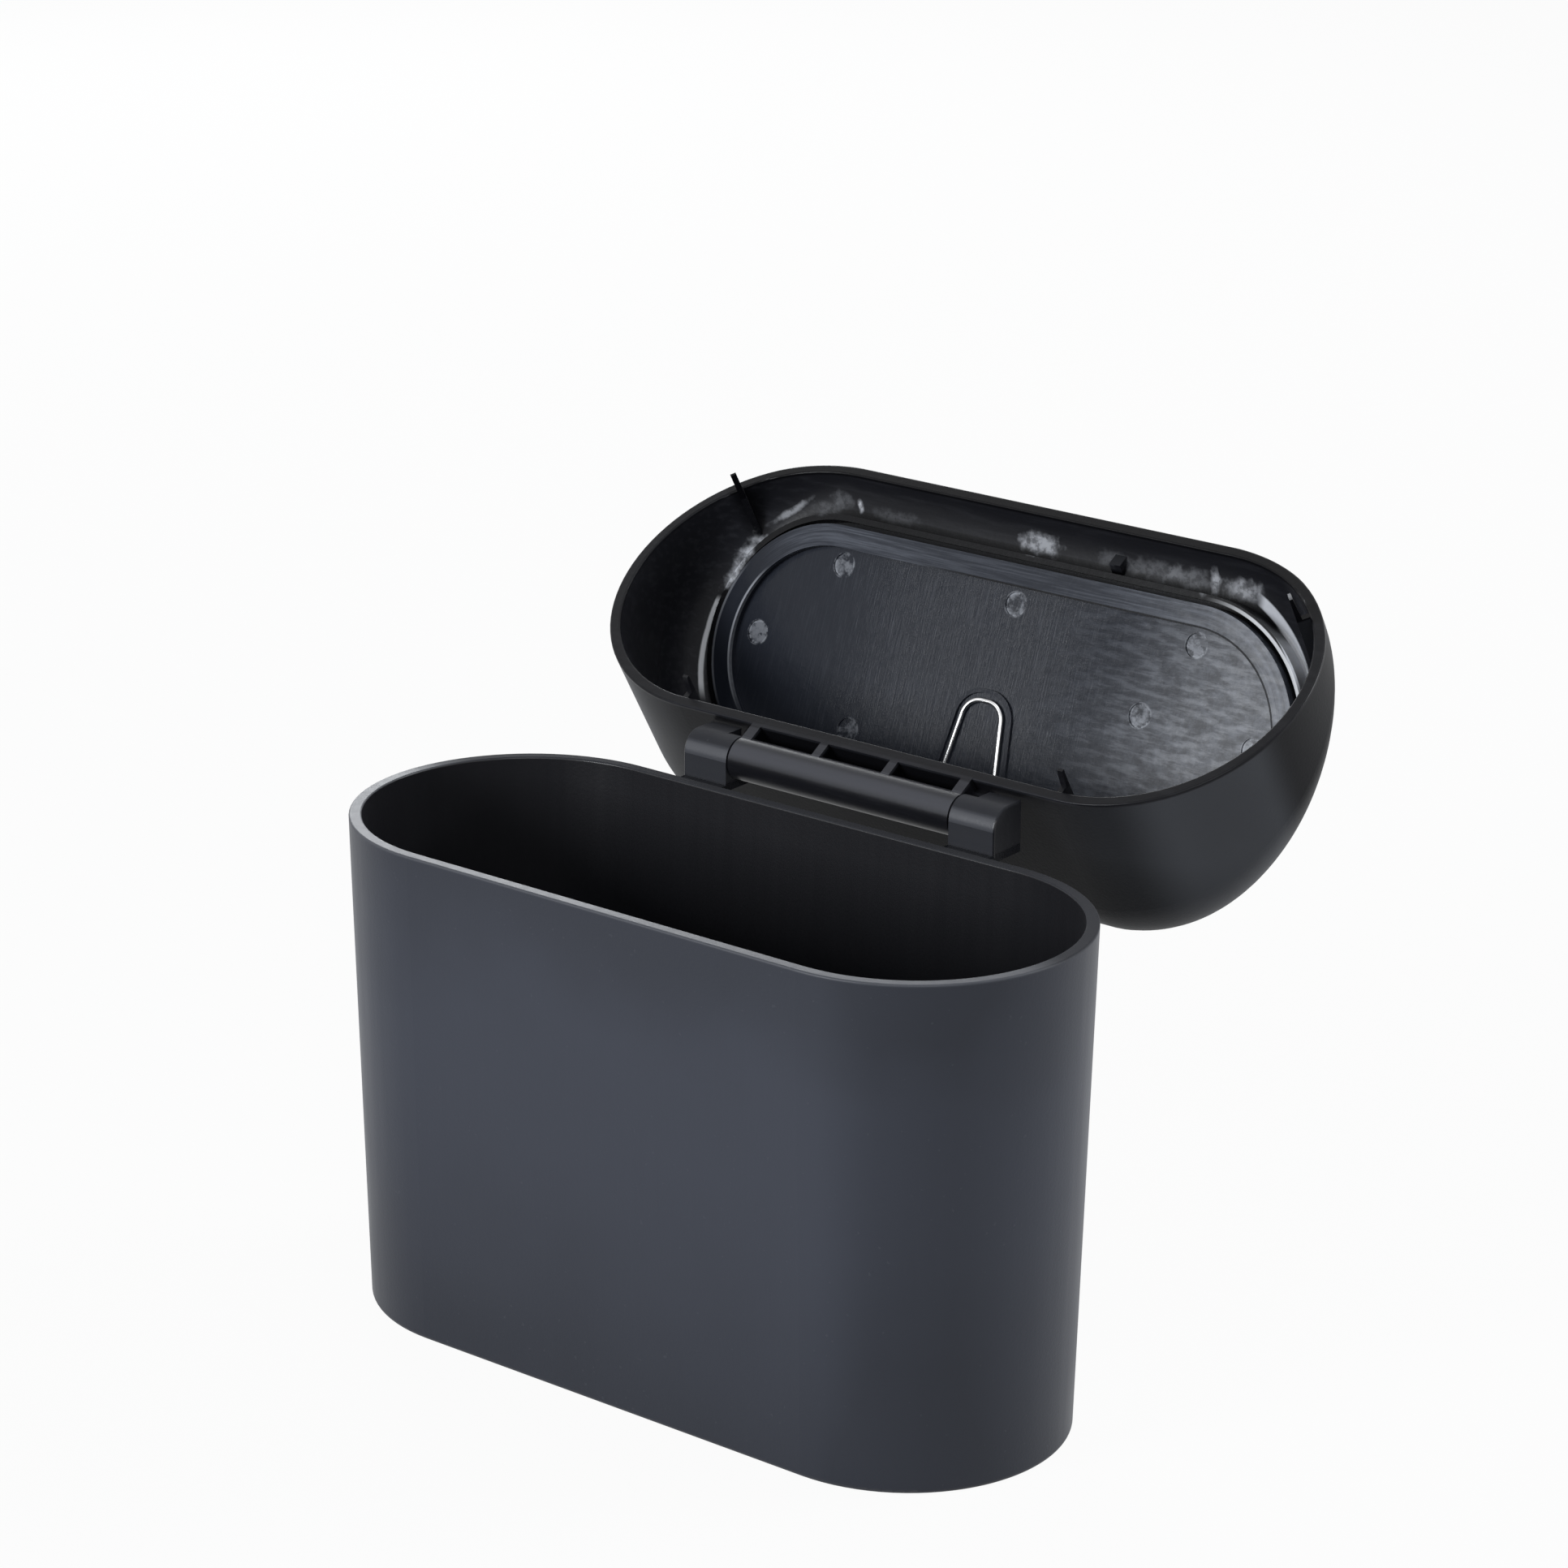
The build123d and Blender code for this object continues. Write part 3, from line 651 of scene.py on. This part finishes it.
# flap: slate plastic with drawn streaks in the middle, ripples, and to the right a glossy coat with a
# painted pale sheen
flapSkin = {
    "slate": rgb(0.019, 0.022, 0.031),
    "dark": rgb(0.011, 0.013, 0.019),
    # pale tone of the drawn streaks and the band's drag marks, and of the painted sheen
    "sheenAndStreaks": rgb(0.25, 0.27, 0.32),
    "paleMarkAndHighlight": rgb(0.50, 0.52, 0.57),  # pale ejector marks with painted highlights on their rims, and painted highlights on edges
    "line": rgb(0.002, 0.002, 0.003),  # shadow line round the panel
    "specular": 0.16,
    "coatRoughness": 0.34,
    "roughness": 0.24,
    "wear": (0.10, 0.06),  # roughness added by the mottle and by the streaks
    "bumpHeight": 0.00006,
    "relief": (0.8, 1.6, 0.8),  # streaks, ripples and mottle in the bump
    "cloud": (0.03, 2),
    "cloudShare": 0.6,
    "mottle": (0.45, 4, 0.65),
    "streaks": (1.0, 4, 0.7),
    "streakStretch": (3.2, 0.10),
    "ripples": (0.8, 4, 0.6),
    "rippleStretch": (0.2, 0.9),
    "panelDepth": (6.0, 0.9, 0.4),
    "bandDepth": (6.9, 7.3),
    "innerDepth": (5.2, 5.5),  # inner side of the flap
    "middleX": (-10, 46, 10),
    "rightX": (0, 40),
    "drawn": (0.48, 0.72),
    "drawnLeast": 0.25,
    "drawnShare": 0.12,
    # painted light on the panel, growing up the slope
    "rearSlope": (-2, 14),
    "rearShare": 0.10,
    "wave": (0.42, 0.66),
    "waveShare": 0.18,
    "sheenLean": 0.35,
    "sheen": (12, 52),
    "sheenMottle": (0.30, 0.75),
    "sheenShare": 0.32,
    "coat": (0.6, 0.5),  # plain, and added by the ripples
    # band with its worn lines, painted highlights on edges at the left end, the painted shadow line of the
    # step, and the round marks of the ejectors with painted highlights on their rims
    "marks": {
        "drag": (1.0, 4, 0.65),
        "dragStretch": (1.5, 0.05),  # across the band and along it
        "dragged": (0.40, 0.66),
        "bandShare": (0.07, 0.26),  # plain, and added by the drag marks
        "bandLeast": 0.55,
        "bandFromMiddle": (10, 36),
        "bandX": (-64, -52),
        "leftX": (-48, -60),
        "leftSlope": ((-24, -18), (9, 0)),
        "innerEdge": (0.22, 0.34, 0.12),  # from the panel's edge
        "outerEdge": (-0.25, 0.4, 0.15),  # from the band's edge
        "edgeShare": (0.6, 0.25),
        "line": (0.16, 0.30, 0.14),  # from the panel's edge
        "lineX": (-32, -8),
        "lineShare": 0.9,
        "places": [
            # x, and slope from the spine
            (-43, -18.4),
            (0, -18.4),
            (43, -18.4),
            (-60.5, -1.1),
            (60.5, -1.1),
            (34, -2.6),
            (-33, 14),
        ],
        "radius": 2.5,
        "discEdge": 0.4,
        "ring": (0.1, 0.45),  # inside the radius, and its reach
        "discMottle": (0.40, 0.60),
        "discShare": 0.35,
        "ringMottle": (0.42, 0.58),
        "ringShare": 0.4,
    },
}


def flapBand(at, look, out):
    # pale drag marks that run along the band
    across, along = look["dragStretch"]
    drag = at.noise(at.vector(out * across, at.x * along, at.slope * along), *look["drag"])
    plain, added = look["bandShare"]
    pale = plain + added * at.ramp(drag, *look["dragged"])
    pale = pale * atLeast(look["bandLeast"], at.ramp(at.x.absolute(), *look["bandFromMiddle"]))
    return pale * at.ramp(at.x, *look["bandX"])


def flapEdges(at, look, ring, out):
    # painted highlights on edges at the left end, and the painted shadow line of the step
    leftEnd = at.ramp(at.x, *look["leftX"]) * at.window(at.slope, *look["leftSlope"])
    edgeHighlight = 0.0
    for key, edge, share in zip(("innerEdge", "outerEdge"), ("panel", "band"), look["edgeShare"]):
        offset, *band = look[key]
        edgeHighlight = at.around(out, ring[edge] + offset, *band) * share + edgeHighlight
    offset, *band = look["line"]
    line = at.around(out, ring["panel"] + offset, *band) * at.ramp(at.x, *look["lineX"])
    return edgeHighlight * leftEnd, line


# pale discs of the ejector marks, with painted highlights on their rims
def ejectorMarks(at, look, ring, mottle):
    disc, rings = 0.0, 0.0
    inset, reach = look["ring"]
    for x, slope in look["places"]:
        away = at.length(at.x - x, at.slope - (slope + ring["middle"]))
        disc = at.ramp(away, look["radius"], look["radius"] - look["discEdge"]) + disc
        rings = at.around(away, look["radius"] - inset, reach) + rings
    disc = disc * at.ramp(mottle, *look["discMottle"]) * look["discShare"]
    return disc + rings * at.ramp(mottle, *look["ringMottle"]) * look["ringShare"]


def flapPlastic(look, ring):
    paint = Finish("flapPlastic", Specular_IOR_Level=look["specular"], Coat_Roughness=look["coatRoughness"])
    at = Places(paint)
    marks = look["marks"]
    out = at.out(ring)
    whole = at.vector(at.x, at.slope, at.depth)
    cloud = at.noise(whole, *look["cloud"])
    mottle = at.noise(whole, *look["mottle"])
    stretchX, stretchSlope = look["streakStretch"]
    streaks = at.noise(at.vector(at.x * stretchX, at.slope * stretchSlope, at.depth), *look["streaks"])
    stretchX, stretchSlope = look["rippleStretch"]
    ripples = at.noise(at.vector(at.x * stretchX, at.slope * stretchSlope, at.depth), *look["ripples"])
    panel = at.around(at.depth, *look["panelDepth"])
    band = at.ramp(at.depth, *look["bandDepth"])
    middle = at.around(at.x, *look["middleX"]) * panel
    right = at.ramp(at.x, *look["rightX"]) * panel
    sheen = at.ramp(at.x + at.slope * look["sheenLean"], *look["sheen"])
    sheen = sheen * at.ramp(at.depth, *look["innerDepth"])
    drawn = at.ramp(streaks, *look["drawn"]) * atLeast(look["drawnLeast"], middle) * panel
    waves = at.ramp(ripples, *look["wave"])
    edgeHighlight, line = flapEdges(at, marks, ring, out)
    ejectorMarkAndHighlight = ejectorMarks(at, marks, ring, mottle)
    # painted light on the panel, growing up the slope
    rear = at.ramp(at.slope, *look["rearSlope"]) * panel
    # painted sheen to the right, broken up by the mottle and the ripples
    pale = sheen * at.ramp(mottle, *look["sheenMottle"])
    sheenAndStreaks = waves * right * look["waveShare"] + pale * look["sheenShare"]
    tone = paint.mix(cloud * look["cloudShare"], look["slate"], look["dark"])
    tone = paint.mix(drawn * look["drawnShare"] + rear * look["rearShare"], tone, look["sheenAndStreaks"])
    tone = paint.mix(band * flapBand(at, marks, out), tone, look["sheenAndStreaks"])
    tone = paint.mix(sheenAndStreaks, tone, look["sheenAndStreaks"])
    tone = paint.mix((ejectorMarkAndHighlight * panel + edgeHighlight * band).clamp(), tone, look["paleMarkAndHighlight"])
    paint.feed("Base Color", paint.mix(line * band * marks["lineShare"], tone, look["line"]))
    mottleWear, drawnWear = look["wear"]
    paint.feed("Roughness", look["roughness"] + (mottle - 0.5) * mottleWear + drawn * drawnWear)
    plain, added = look["coat"]
    paint.feed("Coat Weight", (sheen * (plain + added * waves) * (1 - line * band)).clamp())
    streakRelief, rippleRelief, mottleRelief = look["relief"]
    relief = streaks * middle * streakRelief + ripples * right * rippleRelief + mottle * mottleRelief
    paint.bump(relief, look["bumpHeight"])
    return paint


# bright steel of the pins, turned across
pinSet = {
    "bright": rgb(0.56, 0.56, 0.57),
    "dull": rgb(0.28, 0.28, 0.29),
    "turned": (1.0, 3),
    "turnedStretch": (3.0, 0.3),
    "spotNoise": (0.5, 2),
    "spots": (0.5, 0.7),
    "spotShare": 0.5,
    "roughness": (0.24, 0.16),  # plain, and added by the turning marks
    "bumpHeight": 0.00001,
}


def pinSteel(look):
    paint = Finish("pinSteel", Metallic=1.0)
    at = Places(paint)
    along, across = look["turnedStretch"]
    turned = at.noise(at.vector(at.x * along, at.y * across, at.z * across), *look["turned"])
    spots = at.ramp(at.noise(at.vector(at.x, at.y, at.z), *look["spotNoise"]), *look["spots"])
    plain, added = look["roughness"]
    paint.feed("Base Color", paint.mix(spots * look["spotShare"], look["bright"], look["dull"]))
    paint.feed("Roughness", plain + turned * added)
    paint.bump(turned, look["bumpHeight"])
    return paint


def dress(node, paint):
    mesh = nodes[node].data
    mesh.materials.clear()
    mesh.materials.append(paint.material)


dress("bin_body", binPlastic(binSet))
dress("lid_shell", lidPlastic(lidSkin, ringSet))
dress("press_flap", flapPlastic(flapSkin, ringSet))
pins = pinSteel(pinSet)
dress("lid_hinge_pin", pins)
dress("flap_hinge_pin", pins)
print("carried-over pieces dressed")

# flap spring: one bright wire, made as two halves that meet at the end of the loop
springSet = {
    "wire": 0.001,
    "middle": -0.0015,
    "spread": 0.008,  # half width of the loop at the pin
    "end": 0.0043,  # half width at its closed end
    "bend": 0.004,
    "reach": 0.0276,  # pin axis to the end of the loop
    "coil": 0.00205,  # radius of the coil at the wire's middle
    "turns": 5.107,
    "pitch": 0.00103,
    "leg": 0.0041,
    "sides": 14,
    "steps": {"end": 12, "bend": 24, "side": 40, "coil": 180, "leg": 10},  # points along each stretch
    # wire drawn lengthwise
    "steel": {
        "bright": rgb(0.66, 0.66, 0.67),
        "dull": rgb(0.28, 0.28, 0.29),
        "lines": (1.0, 2),
        "lineStretch": (8, 60),  # along the wire and round it
        "spotNoise": (1.0, 2),
        "spotStretch": (90, 4),
        "spotLayer": 3,
        "spots": (0.55, 0.75),
        "spotShare": 0.45,
        "roughness": (0.20, 0.12, 0.1),  # plain, and added by the lines and the spots
        "bumpHeight": 0.00001,
    },
}


def wireSteel(look):
    paint = Finish("wireSteel", Metallic=1.0)
    at = Places(paint)
    along, around = at.split(paint.node("UVMap", {}, {}), 1)[:2]
    stretchAlong, stretchAround = look["lineStretch"]
    lines = at.noise(at.vector(along * stretchAlong, around * stretchAround, 0), *look["lines"])
    stretchAlong, stretchAround = look["spotStretch"]
    spots = at.vector(along * stretchAlong, around * stretchAround, look["spotLayer"])
    spots = at.ramp(at.noise(spots, *look["spotNoise"]), *look["spots"])
    plain, byLines, bySpots = look["roughness"]
    paint.feed("Base Color", paint.mix(spots * look["spotShare"], look["bright"], look["dull"]))
    paint.feed("Roughness", plain + lines * byLines + spots * bySpots)
    paint.bump(lines, look["bumpHeight"])
    return paint


def springPath(look, side):
    # the wire's middle line: straight end, arc of the bend, straight side, helix of the coil, straight leg,
    # as x along the pin from the spring's middle, s up the slope and n out of the top. Returns its points
    # and at each of them a direction square to the wire
    spread, end, bend, reach, coil = (look[key] for key in ("spread", "end", "bend", "reach", "coil"))
    steps = look["steps"]
    lean = math.atan2(spread - end, reach)  # side of the loop against the slope
    start = end - bend / math.tan((math.pi / 2 + lean) / 2)
    arc = np.linspace(0, math.pi / 2 - lean, steps["bend"])
    endX = np.linspace(0, start, steps["end"], endpoint=False)
    bendX = start + bend * np.sin(arc)
    bendS = -reach + bend * (1 - np.cos(arc))
    sideT = np.linspace(0, 1, steps["side"])[1:-1]
    sideX = bendX[-1] + (spread - bendX[-1]) * sideT
    sideS = bendS[-1] * (1 - sideT)
    turn = np.linspace(0, 2 * math.pi * look["turns"], steps["coil"])
    coilX = spread + look["pitch"] * turn / (2 * math.pi)
    coilS, coilN = coil * np.sin(turn), coil * np.cos(turn)
    last = turn[-1]
    run = np.linspace(0, look["leg"], steps["leg"])[1:]
    legS, legN = coilS[-1] + run * math.cos(last), coilN[-1] - run * math.sin(last)
    flat = endX.size + arc.size + sideT.size  # points of the loop, all at the coil's top
    x = np.concatenate((endX, bendX, sideX, coilX, np.full(run.shape, coilX[-1])))
    s = np.concatenate((np.full(endX.shape, -reach), bendS, sideS, coilS, legS))
    n = np.concatenate((np.full(flat, coil), coilN, legN))
    tilt = np.concatenate((np.zeros(flat), turn, np.full(run.shape, last)))
    points = flapPin + np.outer(side * x + look["middle"], (1, 0, 0))
    points = points + np.outer(s, upSlope) + np.outer(n, outOfTop)
    square = np.outer(np.sin(tilt), upSlope) + np.outer(np.cos(tilt), outOfTop)
    return points, square


def wireMesh(name, points, square, radius, sides):
    # circle carried along the path: point + radius * (cos * square + sin * across),
    # with a pole that closes each end
    along = np.gradient(points, axis=0)
    along /= np.linalg.norm(along, axis=1, keepdims=True)
    square = square - along * np.sum(square * along, axis=1, keepdims=True)
    square /= np.linalg.norm(square, axis=1, keepdims=True)
    across = np.cross(along, square)
    angle = np.linspace(0, 2 * math.pi, sides, endpoint=False)[None, :, None]
    ring = np.cos(angle) * square[:, None, :] + np.sin(angle) * across[:, None, :]
    grid = points[:, None, :] + radius * ring
    count = len(points)
    verts = np.concatenate((grid.reshape(-1, 3), points[:1], points[-1:]))
    row, col = np.meshgrid(np.arange(count - 1) * sides, np.arange(sides), indexing="ij")
    nextRow, nextCol = row + sides, (col + 1) % sides
    quads = np.stack((row + col, row + nextCol, nextRow + nextCol, nextRow + col), -1).reshape(-1, 4)
    side = np.arange(sides)
    nextSide = (side + 1) % sides
    tail = (count - 1) * sides
    first = np.stack((np.full(sides, count * sides), nextSide, side), -1)
    final = np.stack((np.full(sides, count * sides + 1), tail + side, tail + nextSide), -1)
    mesh = bpy.data.meshes.new(name)
    mesh.from_pydata(verts.tolist(), [], quads.tolist() + first.tolist() + final.tolist())
    # UV: u along the wire in metres, v round it
    run = np.concatenate(([0], np.cumsum(np.linalg.norm(np.diff(points, axis=0), axis=1))))
    corner = np.empty(len(mesh.loops), np.int32)
    mesh.loops.foreach_get("vertex_index", corner)
    u = np.concatenate((np.repeat(run, sides), run[:1], run[-1:]))[corner]
    v = np.concatenate((np.tile(side / sides, count), (0, 0)))[corner]
    uvMap = mesh.uv_layers.new(name="UVMap")
    uvMap.data.foreach_set("uv", np.stack((u, v), -1).astype(np.float32).ravel())
    mesh.polygons.foreach_set("use_smooth", np.ones(len(mesh.polygons), bool))
    mesh.update()
    return mesh


def makeSpring(look):
    steel = wireSteel(look["steel"])
    for name, side in (("springRight", 1), ("springLeft", -1)):
        mesh = wireMesh(name, *springPath(look, side), look["wire"] / 2, look["sides"])
        mesh.materials.append(steel.material)
        half = addObject(name, mesh)
        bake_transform(half)
        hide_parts("flap_spring")


makeSpring(springSet)
print("spring wound")
